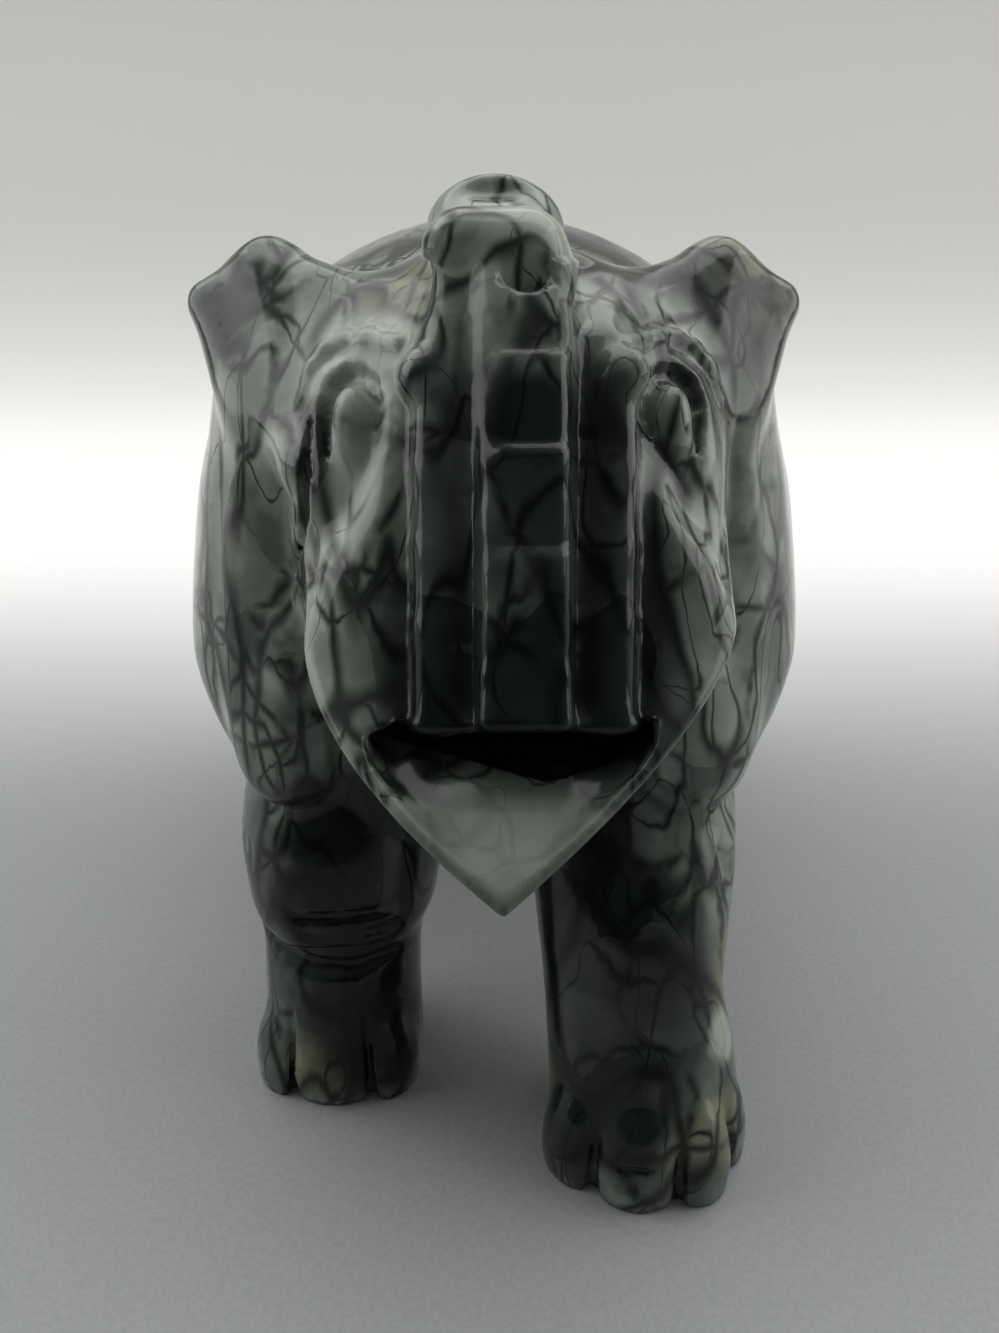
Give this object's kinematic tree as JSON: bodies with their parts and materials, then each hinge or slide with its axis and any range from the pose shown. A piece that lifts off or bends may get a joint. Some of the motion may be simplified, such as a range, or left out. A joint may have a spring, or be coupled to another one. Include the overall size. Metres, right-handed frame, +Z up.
{
  "type": "carved jade elephant figurine",
  "caption": "Polished green jade elephant, striding with its trunk thrown up over its forehead and its mouth open, carved in one piece.",
  "frame": {"origin": "on the ground under the middle of the elephant's box", "axes": "+Z up, the elephant looks along -Y, its length along Y"},
  "size_m": [0.084, 0.1446, 0.1037],
  "materials": {
    "jade": "polished grey-green jade with dark veins"
  },
  "bodies": {
    "root": {"elephant": "jade"}
  },
  "joints": []
}
